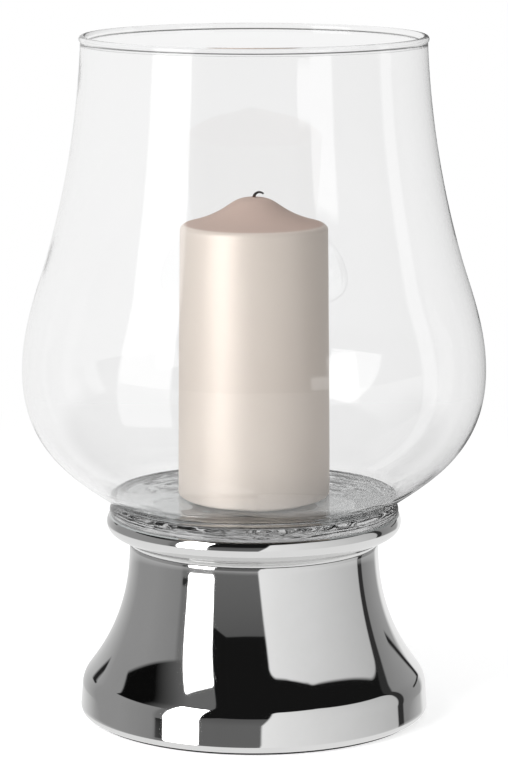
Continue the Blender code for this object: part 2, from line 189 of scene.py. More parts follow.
# %% [markdown]
# ## The foot
#
# The foot is a hollow spun shell. From the column its outside sweeps out in a hollow flare, which a curve with two
# handles draws, and then turns over a soft edge, an arc, into a band that leans slightly. What a mirror shows depends
# on its slope, so the turn has to be as soft as the real one: it squeezes the whole room into a few millimetres.

# %% The foot's outside
FOOT_Z = 1.3 * MM
FOOT_HEIGHT = 92.4 * MM
COLUMN_RADIUS = 66.8 * MM
WAIST_Z = FOOT_HEIGHT - 1.7 * MM
WAIST_PULL = 37.9 * MM
FLARE_SLOPE = 36.3  # degrees off upright
FLARE_PULL = 10.6 * MM
TURN_RADIUS = 15.4 * MM
BAND_HEIGHT = 15.0 * MM
BAND_LEAN = 4.3  # degrees off upright
BAND_RADIUS = 93.5 * MM
BAND_EDGE = 3.6 * MM
BAND_STEPS = 8


def flare(flare_steps, turn_steps):
    """The outside from the waist down to the band."""
    waist = (COLUMN_RADIUS, WAIST_Z)
    band_top = (BAND_RADIUS - (BAND_HEIGHT - BAND_EDGE) * math.tan(math.radians(BAND_LEAN)), BAND_HEIGHT)
    turn_centre = toward(band_top, TURN_RADIUS, 180 + BAND_LEAN)
    turn = arc(turn_centre, TURN_RADIUS, FLARE_SLOPE, BAND_LEAN, turn_steps)
    flare_foot = toward(turn[0], FLARE_PULL, 90 + FLARE_SLOPE)
    return curve(waist, toward(waist, WAIST_PULL, -90), flare_foot, turn[0], flare_steps) + turn[1:]


outside = flare(56, 28)
edge = arc((BAND_RADIUS - BAND_EDGE, BAND_EDGE), BAND_EDGE, BAND_LEAN, -90, 14)
band = [between(outside[-1], edge[0], step / BAND_STEPS) for step in range(1, BAND_STEPS)]
print("foot outside:", len(outside) + len(band) + len(edge), "points")

# %% [markdown]
# Inside, the shell follows its outside at an even wall, up to a deck that closes the column. A hole in the deck lets
# the stud through. The underside has a shallow seat for the felt ring, which keeps the metal off the table.

# %% Foot and felt
FOOT_WALL = 3.5 * MM
COLUMN_EDGE = 0.5 * MM
DECK = 4 * MM
DECK_HOLE = 4.5 * MM
DECK_FILLET = 5 * MM
FELT_RADIUS = 88.7 * MM
FELT_WIDTH = 9.0 * MM
FELT_HEIGHT = 1 * MM
FELT_INSET = 1.2 * MM
SEAT_THICKNESS = 3 * MM

felt_bore = FELT_RADIUS - FELT_WIDTH
seat_bore = felt_bore - FELT_INSET
under_deck = FOOT_HEIGHT - DECK
inside = beside(flare(28, 14), -FOOT_WALL)
inside_foot = inside[-1][0] + (inside[-1][1] - SEAT_THICKNESS) * math.tan(math.radians(BAND_LEAN))
inside = [point for point in inside if point[1] < under_deck - DECK_FILLET]

foot_outline = [(DECK_HOLE, FOOT_HEIGHT)]
foot_outline += fillet(foot_outline[0], (COLUMN_RADIUS, FOOT_HEIGHT), outside[0], COLUMN_EDGE, 4)
foot_outline += outside + band + edge
foot_outline += [(seat_bore, 0), (seat_bore, SEAT_THICKNESS), (inside_foot, SEAT_THICKNESS)]
foot_outline += reversed(inside)
foot_outline += fillet(inside[0], (COLUMN_RADIUS - FOOT_WALL, under_deck), (DECK_HOLE, under_deck), DECK_FILLET)
foot_outline += [(DECK_HOLE, under_deck)]
foot = turned("foot_shell", raised(foot_outline, FOOT_Z))

felt_outline = [(felt_bore, FELT_HEIGHT), (FELT_RADIUS, FELT_HEIGHT), (FELT_RADIUS, 0), (felt_bore, 0)]
felt_pad = turned("felt_pad", felt_outline)

# %% [markdown]
# ## The collar ring and the seat dish
#
# A collar ring with a rounded moulding over a cove sits on the foot. A shallow dish lies flush in it, and the glass
# stands on both, held in place by the ring's low edge. Dish, ring and foot are clamped together from below, so only
# a fine line shows between them.

# %% Collar ring
HEEL_RADIUS = 77.4 * MM
GLASS_CLEARANCE = 0.4 * MM
DISH_CLEARANCE = 0.3 * MM
RING_Z = 94.0 * MM
RING_ROUND = 6.5 * MM
RING_RADIUS = 78.9 * MM
RING_ROUND_Z = 11.4 * MM
MOULDING_END = -50  # degrees
COVE_PULL = 4 * MM
COVE_SLOPE = 68  # degrees above level, where the cove meets the column
SPIGOT_DEPTH = 8 * MM
SPIGOT_HEIGHT = 3 * MM
LEDGE_WIDTH = 5 * MM
SEAT_HEIGHT = 15.0 * MM
DISH_RADIUS = 74.0 * MM
DISH_THICKNESS = 3.0 * MM

edge_radius = HEEL_RADIUS + GLASS_CLEARANCE
round_centre = (RING_RADIUS - RING_ROUND, RING_ROUND_Z)
edge_angle = math.degrees(math.acos((edge_radius - round_centre[0]) / RING_ROUND))
moulding = arc(round_centre, RING_ROUND, edge_angle, MOULDING_END, 28)
cove_end = (COLUMN_RADIUS, 0)
cove_start_handle = toward(moulding[-1], COVE_PULL, MOULDING_END - 90)
cove = curve(moulding[-1], cove_start_handle, toward(cove_end, COVE_PULL, COVE_SLOPE), cove_end, 24)
recess = DISH_RADIUS + DISH_CLEARANCE
ring_bore = COLUMN_RADIUS - SPIGOT_DEPTH
ledge = SEAT_HEIGHT - DISH_THICKNESS - DISH_CLEARANCE
ring_outline = [(recess, SEAT_HEIGHT), (edge_radius, SEAT_HEIGHT)]
ring_outline += moulding
ring_outline += cove[1:]
ring_outline += [(ring_bore, 0), (ring_bore, SPIGOT_HEIGHT), (DISH_RADIUS - LEDGE_WIDTH, ledge), (recess, ledge)]
collar = turned("moulded_ring", raised(ring_outline, RING_Z))

# %% Dish
GLASS_Z = 109.3 * MM
DISH_HOLLOW = 1.2 * MM
DISH_RIM = 60 * MM  # radius from which the dish is flat
HOLLOW_RADIUS = 40 * MM
HOLLOW_PULLS = (30 * MM, 45 * MM)
DISH_EDGE = 0.4 * MM
BOSS_RADIUS = 11.0 * MM
BOSS_GAP = 1.5 * MM
STUD_HOLE = 4.3 * MM
STUD_HOLE_ROOF = 2.2 * MM

boss_foot = FOOT_Z + FOOT_HEIGHT + BOSS_GAP - GLASS_Z
dish_top = RING_Z + SEAT_HEIGHT - GLASS_Z
dish_low = dish_top - DISH_HOLLOW
dish_under = dish_top - DISH_THICKNESS
hole_end = dish_low - STUD_HOLE_ROOF
dish_outline = curve((0, dish_low), (HOLLOW_PULLS[0], dish_low), (HOLLOW_PULLS[1], dish_top), (DISH_RIM, dish_top), 20)
dish_outline += fillet((DISH_RIM, dish_top), (DISH_RADIUS, dish_top), (DISH_RADIUS, dish_under), DISH_EDGE, 4)
dish_outline += [(DISH_RADIUS, dish_under), (DISH_RIM, dish_under), (HOLLOW_RADIUS, dish_under - DISH_HOLLOW)]
dish_outline += [(BOSS_RADIUS, dish_under - DISH_HOLLOW), (BOSS_RADIUS, boss_foot), (STUD_HOLE, boss_foot)]
dish_outline += [(STUD_HOLE, hole_end), (0, hole_end)]
dish = turned("seat_dish", raised(dish_outline, GLASS_Z), closed=False)

# %% [markdown]
# ## The glass
#
# The shade is blown: one wall of even thickness that swells from a thick round heel, turns in over a shoulder and rises
# almost upright to the mouth. Three curves joined in line give the outside, and the inside is the same line moved in by
# the wall. At the mouth a torch has melted the edge to a bead, and the bottom is left nine millimetres thick, with a
# slight hollow underneath so that it stands on a ring. Clear glass is all about its thickness, so both faces are
# modelled.

# %% The glass's outside
GLASS_HEIGHT = 255.6 * MM
MOUTH_BEAD = 1.9 * MM
MOUTH_RADIUS = 91.1 * MM
THROAT_SLOPE = 34  # degrees above level
SHOULDER_LEAN = 16.1  # degrees off upright
MOUTH_LEAN = 2.0
THROAT_PULL = 28 * MM
BULGE_PULLS = (40 * MM, 24 * MM)  # below and above
SHOULDER_PULLS = (18.6 * MM, 31.6 * MM)
MOUTH_PULL = 43.5 * MM

throat = (75.0 * MM, 6.9 * MM)
bulge = (123.4 * MM, 77.7 * MM)
shoulder = (109.6 * MM, 139.5 * MM)
mouth = (MOUTH_RADIUS, GLASS_HEIGHT - MOUTH_BEAD)
under_bulge = toward(bulge, BULGE_PULLS[0], -90)
over_bulge = toward(bulge, BULGE_PULLS[1], 90)
under_shoulder = toward(shoulder, SHOULDER_PULLS[0], SHOULDER_LEAN - 90)
over_shoulder = toward(shoulder, SHOULDER_PULLS[1], SHOULDER_LEAN + 90)
wall = curve(throat, toward(throat, THROAT_PULL, THROAT_SLOPE), under_bulge, bulge, 44)
wall += curve(bulge, over_bulge, under_shoulder, shoulder, 20)[1:]
wall += curve(shoulder, over_shoulder, toward(mouth, MOUTH_PULL, MOUTH_LEAN - 90), mouth, 32)[1:]
print("glass wall:", len(wall), "points")

# %% Floor and heel
GLASS_WALL = 2.2 * MM
GLASS_FLOOR = 8.8 * MM
GLASS_FLOOR_FILLET = 24.0 * MM
THROAT_EDGE = 0.5 * MM
HEEL_HEIGHT = 2.6 * MM
HEEL_PULL = 1.7 * MM
HEEL_SLOPE = -53  # degrees, under the throat
HEEL_CORNER = 2.4 * MM
STAND_RADIUS = 62.4 * MM
HOLLOW_UNDER = 1.2 * MM

inner_throat = toward(wall[0], GLASS_WALL, THROAT_SLOPE + 90)
rise = GLASS_FLOOR - inner_throat[1]
floor_corner = (inner_throat[0] + rise / math.tan(math.radians(THROAT_SLOPE)), GLASS_FLOOR)
up_the_wall = toward(floor_corner, bulge[0] - throat[0], THROAT_SLOPE)
floor_line = fillet((0, GLASS_FLOOR), floor_corner, up_the_wall, GLASS_FLOOR_FILLET, 14)
heel_low = (HEEL_RADIUS, HEEL_HEIGHT)
heel_side = curve(throat, toward(throat, HEEL_PULL, HEEL_SLOPE), toward(heel_low, HEEL_PULL, 90), heel_low, 14)
stand = (STAND_RADIUS, 0)
arch = (STAND_RADIUS / 2, HOLLOW_UNDER)
heel_corner = fillet(heel_low, (HEEL_RADIUS, 0), stand, HEEL_CORNER, 10)
print("glass floor and heel:", len(floor_line) + len(heel_side) + len(heel_corner), "points")

# %% Bead and whole glass
BEAD_DEPTH = 2.3 * MM  # from the bead's middle down to the plain wall
BEAD_TUCK = 6  # degrees by which the bead reaches round into its neck

neck = math.degrees(math.acos(GLASS_WALL / 2 / MOUTH_BEAD)) - BEAD_TUCK
under_bead = toward(mouth, BEAD_DEPTH, MOUTH_LEAN - 90)
bead_centre = (MOUTH_RADIUS - GLASS_WALL / 2, GLASS_HEIGHT - MOUTH_BEAD)
glass_outline = [(0, GLASS_FLOOR)] + floor_line
glass_outline += [point for point in beside(wall, GLASS_WALL)[1:-1] if point[0] > floor_line[-1][0]]
glass_outline += [(under_bead[0] - GLASS_WALL, under_bead[1])]
glass_outline += arc(bead_centre, MOUTH_BEAD, 180 + neck, -neck, 28)
glass_outline += [under_bead]
glass_outline += list(reversed(wall[:-1]))[:-1]
glass_outline += fillet(wall[1], throat, heel_side[1], THROAT_EDGE, 5)
glass_outline += heel_side[1:]
glass_outline += heel_corner
glass_outline += curve(stand, arch, arch, (0, HOLLOW_UNDER), 12)
glass = turned("blown_glass", raised(glass_outline, GLASS_Z), closed=False)

# %% [markdown]
# ## The candle
#
# A cast pillar candle tapers a little towards its shoulder so that it leaves the mould, and its top rises in a low
# cone with a hollow flank. The side was dipped in pearl lacquer, which makes a small round where it wraps over the
# shoulder. The outline starts at the wick's bore, which the real candle has too.

# %% Candle
CANDLE_Z = 118.4 * MM
CANDLE_RADIUS = 40.7 * MM
SHOULDER_RADIUS = 39.3 * MM
CANDLE_HEIGHT = 160.9 * MM
CANDLE_ROUND = 3.4 * MM
CANDLE_EDGE = 1.2 * MM
DOME_HEIGHT = 13.9 * MM
DOME_RIM_SLOPE = 14  # degrees
DOME_PULLS = (13 * MM, 25 * MM)  # at the top and at the foot
WICK_BORE = 1.2 * MM

cone_top = (WICK_BORE, CANDLE_HEIGHT)
cone_foot = (SHOULDER_RADIUS - CANDLE_ROUND, CANDLE_HEIGHT - DOME_HEIGHT)
cone_foot_handle = toward(cone_foot, DOME_PULLS[1], 180 - DOME_RIM_SLOPE)
side_top = (SHOULDER_RADIUS, cone_foot[1] - CANDLE_ROUND)
over_round = toward(cone_foot, CANDLE_ROUND / 2, -DOME_RIM_SLOPE)
wax_outline = curve(cone_top, toward(cone_top, DOME_PULLS[0], 0), cone_foot_handle, cone_foot, 36)
wax_outline += curve(cone_foot, over_round, toward(side_top, CANDLE_ROUND / 2, 90), side_top, 12)[1:]
wax_outline += fillet(side_top, (CANDLE_RADIUS, 0), (WICK_BORE, 0), CANDLE_EDGE, 6)
wax_outline += [(WICK_BORE, 0)]
wax = turned("pillar_wax", raised(wax_outline, CANDLE_Z))

# %% [markdown]
# ## The wick
#
# A candle wick is braided from cotton. Three cords wound round one bent line make it: each is a curve with a round
# section, and the three are turned into one mesh. Above the wax it was lit once, so it thins, bends over and is
# charred. The line stops just short of the bottom of the bore.

# %% The wick's line
WICK_GAP = 1.2 * MM
WICK_REACH = 5 * MM
WICK_RISE = 1.8 * MM
WICK_BEND = (2.5 * MM, 3.8 * MM)  # handle of the bent tip
STRAIGHT_STEPS = 320
BURNT_STEPS = 40

wick_root = CANDLE_Z + WICK_GAP
wick_leaves = CANDLE_Z + CANDLE_HEIGHT
wick_tip = (WICK_REACH, wick_leaves + WICK_RISE)
tip_handle = (WICK_BEND[0], wick_leaves + WICK_BEND[1])
wick_line = [(0, wick_root + (wick_leaves - wick_root) * i / STRAIGHT_STEPS) for i in range(STRAIGHT_STEPS)]
wick_line += curve((0, wick_leaves), (0, wick_leaves + WICK_RISE), tip_handle, wick_tip, BURNT_STEPS)
print("wick line:", len(wick_line), "points")

# %% Wick
WICK_RADIUS = 0.9 * MM
STRANDS = 3
STRAND_RADIUS = 0.42 * MM
WICK_LAY = 2.6 * MM  # length in which a strand goes once round
BURNT_AWAY = 0.45  # share of the thickness that is gone at the tip


def strand(turn_from):
    """One cord's points and thickness, as it winds round the wick's line."""
    made = []
    travelled = 0.0
    for i, (across, height) in enumerate(wick_line):
        before = Vector(wick_line[max(i - 1, 0)])
        after = Vector(wick_line[min(i + 1, len(wick_line) - 1)])
        along = (after - before).normalized()
        travelled += (Vector(wick_line[i]) - before).length
        charred = max(0.0, (i - STRAIGHT_STEPS) / BURNT_STEPS)
        thin = 1 - BURNT_AWAY * charred
        turn = turn_from + 2 * math.pi * travelled / WICK_LAY
        off = (WICK_RADIUS - STRAND_RADIUS) * thin
        side = off * math.cos(turn)
        point = (across + side * along.y, off * math.sin(turn), height - side * along.x)
        made.append((point, thin))
    return made


cord = bpy.data.curves.new("wick_cord", "CURVE")
cord.dimensions = "3D"
cord.bevel_depth = STRAND_RADIUS
cord.bevel_resolution = 2
cord.use_fill_caps = True
for number in range(STRANDS):
    points = strand(number * 2 * math.pi / STRANDS)
    spline = cord.splines.new("POLY")
    spline.points.add(len(points) - 1)
    for spline_point, (place, thin) in zip(spline.points, points):
        spline_point.co = (*place, 1)
        spline_point.radius = thin
holder = bpy.data.objects.new("wick_cord", cord)
bpy.context.scene.collection.objects.link(holder)
wick_mesh = bpy.data.meshes.new_from_object(holder.evaluated_get(bpy.context.evaluated_depsgraph_get()))
bpy.data.objects.remove(holder)
wick_mesh.shade_smooth()
wick = bpy.data.objects.new("braided_wick", wick_mesh)
bpy.context.scene.collection.objects.link(wick)
print("wick:", len(wick_mesh.polygons), "faces")

# %% [markdown]
# ## Colours and nodes
#
# Colours are written as the hex values that a picture shows, and one function turns them to the linear values that a
# shader works in. Another small function adds a node, with its settings and its links, so that a material reads from
# top to bottom.


# %% Colours and nodes
def colour(hex_value):
    channels = [int(hex_value[i : i + 2], 16) / 255 for i in (1, 3, 5)]
    return tuple(c / 12.92 if c <= 0.04045 else ((c + 0.055) / 1.055) ** 2.4 for c in channels) + (1,)


def add(tree, kind, inputs=(), **settings):
    """Adds a node. An input that is given a socket is linked to it, and any other input is set."""
    made = tree.nodes.new(kind)
    for name, value in settings.items():
        setattr(made, name, value)
    for name, value in dict(inputs).items():
        if isinstance(value, bpy.types.NodeSocket):
            tree.links.new(value, made.inputs[name])
        else:
            made.inputs[name].default_value = value
    return made


def material(name):
    """A new material, its tree and its Principled shader."""
    made = bpy.data.materials.new(name)
    made.use_nodes = True
    return made, made.node_tree, made.node_tree.nodes["Principled BSDF"]


def finish_piece(piece, finish):
    piece.data.materials.clear()
    piece.data.materials.append(finish)


def describe(finish):
    print("finish:", finish.name, len(finish.node_tree.nodes), "nodes")


# %% [markdown]
# ## Polished nickel plate
#
# The foot, the ring and the dish are cast aluminium, turned, buffed and nickel plated. Buffing leaves a mirror that is
# never quite even: slow waves bend what it mirrors, and wiping leaves a faint haze. The waves are about 36 mm apart
# and less than a tenth of a millimetre deep, so they are a bump, not a shape. The haze varies the roughness. A
# pattern's scale counts its features in a metre, so 1000 divided by it is their size in millimetres.

# %% Nickel plate
WAVE_SCALE = 28  # 36 mm apart
HAZE_SCALE = 45  # 22 mm apart

nickel, tree, shader = material("polished_nickel_plate")
place = add(tree, "ShaderNodeTexCoord").outputs["Object"]
waves = add(tree, "ShaderNodeTexNoise", {"Vector": place, "Scale": WAVE_SCALE, "Detail": 1.5, "Roughness": 0.4})
haze = add(tree, "ShaderNodeTexNoise", {"Vector": place, "Scale": HAZE_SCALE, "Detail": 5, "Roughness": 0.65})
wiped = add(
    tree,
    "ShaderNodeMapRange",
    {"Value": haze.outputs["Fac"], "From Min": 0.35, "From Max": 0.75, "To Min": 0.03, "To Max": 0.055},
)
tint = add(
    tree,
    "ShaderNodeMix",
    {"Factor": haze.outputs["Fac"], "A": colour("#E6E6E6"), "B": colour("#DEDEDD")},
    data_type="RGBA",
)
bump = add(tree, "ShaderNodeBump", {"Height": waves.outputs["Fac"], "Strength": 1.0, "Distance": 0.10 * MM})
tree.links.new(tint.outputs["Result"], shader.inputs["Base Color"])
tree.links.new(wiped.outputs["Result"], shader.inputs["Roughness"])
tree.links.new(bump.outputs["Normal"], shader.inputs["Normal"])
shader.inputs["Metallic"].default_value = 1.0
describe(nickel)

# %% [markdown]
# ## Blown glass
#
# Soda-lime glass bends light with an index of 1.52 and is perfectly smooth. Blowing leaves gentle waves in the wall,
# which are a bump. The heavy bottom was gathered and turned on a rod, so it has swirls that run round the axis. They
# need a pattern in ring coordinates: the distance from the axis, the angle round it and the height, each with a
# scale of its own. Two masks by height keep the swirls between the heel and the first part of the wall.

# %% Waves and swirls in the glass
RIPPLE_SCALE = 22  # 45 mm apart
SWIRLS_ACROSS = 90  # 11 mm apart, outwards from the axis
SWIRLS_ROUND = 2.6  # in a radian, so that they are long
SWIRLS_UP = 45  # 22 mm apart, upwards
SWIRL_TOP = (26 * MM, 8 * MM)  # above the glass's underside: where they end and where they are whole
SWIRL_FOOT = (6.4 * MM, 8.4 * MM)

clear_glass, tree, shader = material("blown_soda_lime_glass")
place = add(tree, "ShaderNodeTexCoord").outputs["Object"]
ripples = add(tree, "ShaderNodeTexNoise", {"Vector": place, "Scale": RIPPLE_SCALE, "Detail": 1, "Roughness": 0.4})
axes = add(tree, "ShaderNodeSeparateXYZ", {"Vector": place})
height = axes.outputs["Z"]
turn = add(tree, "ShaderNodeMath", {0: axes.outputs["Y"], 1: axes.outputs["X"]}, operation="ARCTAN2")
level = add(tree, "ShaderNodeVectorMath", {0: place, 1: (1, 1, 0)}, operation="MULTIPLY")
reach = add(tree, "ShaderNodeVectorMath", {0: level.outputs["Vector"]}, operation="LENGTH")
ring_place = {}
for axis, value, scale in (
    ("X", reach.outputs["Value"], SWIRLS_ACROSS),
    ("Y", turn.outputs["Value"], SWIRLS_ROUND),
    ("Z", height, SWIRLS_UP),
):
    ring_place[axis] = add(tree, "ShaderNodeMath", {0: value, 1: scale}, operation="MULTIPLY").outputs["Value"]
round_the_axis = add(tree, "ShaderNodeCombineXYZ", ring_place).outputs["Vector"]
swirls = add(
    tree,
    "ShaderNodeTexNoise",
    {"Vector": round_the_axis, "Scale": 1.0, "Detail": 0.5, "Distortion": 1.0},
)
masks = []
for start, whole in (SWIRL_TOP, SWIRL_FOOT):
    mask = add(
        tree,
        "ShaderNodeMapRange",
        {"Value": height, "From Min": GLASS_Z + start, "From Max": GLASS_Z + whole},
        interpolation_type="SMOOTHSTEP",
    )
    masks.append(mask.outputs["Result"])
strength = add(tree, "ShaderNodeMath", {0: masks[0], 1: masks[1]}, operation="MULTIPLY").outputs["Value"]
bump = add(tree, "ShaderNodeBump", {"Height": ripples.outputs["Fac"], "Strength": 1.0, "Distance": 0.12 * MM})
bump = add(
    tree,
    "ShaderNodeBump",
    {
        "Height": swirls.outputs["Fac"],
        "Strength": strength,
        "Distance": 0.4 * MM,
        "Normal": bump.outputs["Normal"],
    },
)
shader.inputs["Base Color"].default_value = (1, 1, 1, 1)
shader.inputs["Roughness"].default_value = 0.0
shader.inputs["IOR"].default_value = 1.52
shader.inputs["Transmission Weight"].default_value = 1.0
tree.links.new(bump.outputs["Normal"], shader.inputs["Normal"])
describe(clear_glass)

# %% [markdown]
# Glass takes a little of the light on the way, so its edges, where the eye looks along the wall, are greyer than its
# middle. A volume that absorbs does that by the real path length. Lamps and soft light would have to find their way
# through two bent surfaces, and so would the blurred reflections of wax and metal, so for those rays the glass is
# taken as a thin grey film. Sharp reflections and straight views still meet the real glass.

# %% Light through the glass
path = add(tree, "ShaderNodeLightPath")
sharp_ray = add(
    tree,
    "ShaderNodeMath",
    {0: path.outputs["Is Singular Ray"], 1: path.outputs["Is Transmission Ray"]},
    operation="MAXIMUM",
)
sheen_ray = add(
    tree,
    "ShaderNodeMath",
    {0: path.outputs["Is Glossy Ray"], 1: sharp_ray.outputs["Value"]},
    operation="SUBTRACT",
    use_clamp=True,
)
lamp_ray = add(
    tree,
    "ShaderNodeMath",
    {0: path.outputs["Is Shadow Ray"], 1: path.outputs["Is Diffuse Ray"]},
    operation="MAXIMUM",
)
soft_ray = add(
    tree,
    "ShaderNodeMath",
    {0: lamp_ray.outputs["Value"], 1: sheen_ray.outputs["Value"]},
    operation="MAXIMUM",
)
passing = add(tree, "ShaderNodeBsdfTransparent", {"Color": (0.94, 0.95, 0.95, 1)})
both = add(
    tree,
    "ShaderNodeMixShader",
    {0: soft_ray.outputs["Value"], 1: shader.outputs["BSDF"], 2: passing.outputs["BSDF"]},
)
taken = add(tree, "ShaderNodeVolumeAbsorption", {"Color": (0.7, 0.7, 0.7, 1), "Density": 12.0})
output = tree.nodes["Material Output"]
tree.links.new(both.outputs["Shader"], output.inputs["Surface"])
tree.links.new(taken.outputs["Volume"], output.inputs["Volume"])
describe(clear_glass)

# %% [markdown]
# ## Pearl lacquer on wax
#
# The candle's side is champagne pearl lacquer: mica flakes in a clear binder, which give one broad, soft highlight and
# a warm body colour. It stops at the shoulder, and the cone above is bare wax and dull. It is darker partly in its own
# tan colour and partly by painted shade, which gives the upward face the darkness of a face under a dark ceiling. The
# height of a point tells which of the two it is, with a slightly uneven border, as brushed or dipped lacquer has. Mica
# is metal-like, so a share of Metallic stands for it. Real flakes are far finer than a millimetre, and are drawn coarse
# enough to show.

# %% Pearl wax
FLAKE_SCALE = 900  # 1.1 mm apart
CLOUD_SCALE = 18  # 56 mm apart
BORDER_WANDER = 0.6 * MM
BORDER = (-0.6 * MM, 0.4 * MM)  # from whole lacquer to bare wax, about the shoulder

pearl, tree, shader = material("pearl_lacquered_wax")
place = add(tree, "ShaderNodeTexCoord").outputs["Object"]
height = add(tree, "ShaderNodeSeparateXYZ", {"Vector": place}).outputs["Z"]
flakes = add(tree, "ShaderNodeTexNoise", {"Vector": place, "Scale": FLAKE_SCALE, "Detail": 2})
clouds = add(tree, "ShaderNodeTexNoise", {"Vector": place, "Scale": CLOUD_SCALE, "Detail": 3})
border = add(
    tree,
    "ShaderNodeMath",
    {0: clouds.outputs["Fac"], 1: BORDER_WANDER, 2: height},
    operation="MULTIPLY_ADD",
)
shoulder_z = CANDLE_Z + cone_foot[1]
# the bare wax above the shoulder, which also carries the cone's painted shade
bare_and_shaded = add(
    tree,
    "ShaderNodeMapRange",
    {"Value": border.outputs["Value"], "From Min": shoulder_z + BORDER[0], "From Max": shoulder_z + BORDER[1]},
    interpolation_type="SMOOTHSTEP",
).outputs["Result"]
lacquer = add(
    tree,
    "ShaderNodeMix",
    {"Factor": clouds.outputs["Fac"], "A": colour("#E9DDD3"), "B": colour("#E0D2C8")},
    data_type="RGBA",
)
# the cone's colour is its own tan wax, darkened further by painted shade on the upward face
body = add(
    tree,
    "ShaderNodeMix",
    {"Factor": bare_and_shaded, "A": lacquer.outputs["Result"], "B": colour("#B9A297")},
    data_type="RGBA",
)
dull = add(tree, "ShaderNodeMapRange", {"Value": bare_and_shaded, "To Min": 0.54, "To Max": 0.62})
mica = add(tree, "ShaderNodeMapRange", {"Value": bare_and_shaded, "To Min": 0.32, "To Max": 0.0})
bump = add(tree, "ShaderNodeBump", {"Height": flakes.outputs["Fac"], "Strength": 0.25, "Distance": 0.05 * MM})
tree.links.new(body.outputs["Result"], shader.inputs["Base Color"])
tree.links.new(dull.outputs["Result"], shader.inputs["Roughness"])
tree.links.new(mica.outputs["Result"], shader.inputs["Metallic"])
tree.links.new(bump.outputs["Normal"], shader.inputs["Normal"])
shader.inputs["IOR"].default_value = 1.44
describe(pearl)

# %% [markdown]
# ## Cotton, felt and zinc
#
# The wick is cotton, brown where the wax soaked it and black where it burned, so its colour follows the height. The
# foot stands on a ring of pressed wool felt, black and fibrous. The fastening under the deck is zinc-plated steel,
# with the crystalline mottle that plating leaves. Fibres and crystals are finer than this on the real thing, and are
# drawn as coarse as they need to show.

# %% Wick cotton
COTTON_SCALE = 2500  # 0.4 mm apart
CHAR = (-0.5 * MM, 1.5 * MM)  # from brown to black, above the wax

cotton, tree, shader = material("charred_cotton")
place = add(tree, "ShaderNodeTexCoord").outputs["Object"]
height = add(tree, "ShaderNodeSeparateXYZ", {"Vector": place}).outputs["Z"]
fibres = add(tree, "ShaderNodeTexNoise", {"Vector": place, "Scale": COTTON_SCALE, "Detail": 3})
char = add(
    tree,
    "ShaderNodeMapRange",
    {"Value": height, "From Min": wick_leaves + CHAR[0], "From Max": wick_leaves + CHAR[1]},
)
body = add(
    tree,
    "ShaderNodeMix",
    {"Factor": char.outputs["Result"], "A": colour("#6B4A38"), "B": colour("#1E1715")},
    data_type="RGBA",
)
bump = add(tree, "ShaderNodeBump", {"Height": fibres.outputs["Fac"], "Strength": 0.6, "Distance": 0.1 * MM})
tree.links.new(body.outputs["Result"], shader.inputs["Base Color"])
tree.links.new(bump.outputs["Normal"], shader.inputs["Normal"])
shader.inputs["Roughness"].default_value = 0.9
describe(cotton)

# %% Felt
FELT_SCALE = 1400  # 0.7 mm apart

felt, tree, shader = material("pressed_wool_felt")
place = add(tree, "ShaderNodeTexCoord").outputs["Object"]
fibres = add(tree, "ShaderNodeTexNoise", {"Vector": place, "Scale": FELT_SCALE, "Detail": 6, "Distortion": 1.5})
body = add(
    tree,
    "ShaderNodeMix",
    {"Factor": fibres.outputs["Fac"], "A": colour("#141414"), "B": colour("#2C2B2B")},
    data_type="RGBA",
)
bump = add(tree, "ShaderNodeBump", {"Height": fibres.outputs["Fac"], "Strength": 0.8, "Distance": 0.2 * MM})
tree.links.new(body.outputs["Result"], shader.inputs["Base Color"])
tree.links.new(bump.outputs["Normal"], shader.inputs["Normal"])
shader.inputs["Roughness"].default_value = 0.95
shader.inputs["Sheen Weight"].default_value = 0.3
describe(felt)

# %% Zinc plate
MOTTLE_SCALE = 700  # 1.4 mm apart
STAIN_SCALE = 220  # 4.5 mm apart

zinc, tree, shader = material("zinc_plated_steel")
place = add(tree, "ShaderNodeTexCoord").outputs["Object"]
mottle = add(tree, "ShaderNodeTexVoronoi", {"Vector": place, "Scale": MOTTLE_SCALE})
stains = add(tree, "ShaderNodeTexNoise", {"Vector": place, "Scale": STAIN_SCALE, "Detail": 4})
body = add(
    tree,
    "ShaderNodeMix",
    {"Factor": mottle.outputs["Distance"], "A": colour("#B9BCC2"), "B": colour("#A9ADB5")},
    data_type="RGBA",
)
rough = add(tree, "ShaderNodeMapRange", {"Value": stains.outputs["Fac"], "To Min": 0.22, "To Max": 0.45})
tree.links.new(body.outputs["Result"], shader.inputs["Base Color"])
tree.links.new(rough.outputs["Result"], shader.inputs["Roughness"])
shader.inputs["Metallic"].default_value = 1.0
describe(zinc)

# %% [markdown]
# ## Fit the pieces to the frame
#
# Every piece rides on the body that carries it, stands for the CAD node that it refines, which is hidden, and takes its
# finish. The fastening under the deck keeps the CAD meshes and only takes a material.

# %% Ride, replace and finish
FITTED = (
    (foot, "base", "foot", "polished_metal", nickel),
    (felt_pad, "base", "felt_ring", "felt", felt),
    (collar, "base", "collar_ring", "polished_metal", nickel),
    (dish, "base", "dish", "polished_metal", nickel),
    (glass, "shade", "glass_shade", "clear_glass", clear_glass),
    (wax, "candle", "candle_wax", "pearl_wax", pearl),
    (wick, "candle", "candle_wick", "wick", cotton),
)
for piece, body_name, node_name, slot_name, finish in FITTED:
    finish_piece(piece, finish)
    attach(piece, body_name)
    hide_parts(node_name)
for node_name in ("tie_stud", "flat_washer", "lock_washer", "hex_nut"):
    finish_piece(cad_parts[node_name], zinc)
print("pieces fitted:", len(FITTED))

# %% [markdown]
# ## The studio
#
# A mirror shows the room, so the room has to be right. Round the holder stand a tall white window on the left, a large
# pale board on the right, dark cloth between them where the camera is, a black ceiling, and a white sweep behind. They
# are drawn in the world, by direction: azimuth 0 is towards the camera and grows to the right, elevation 0 is level.

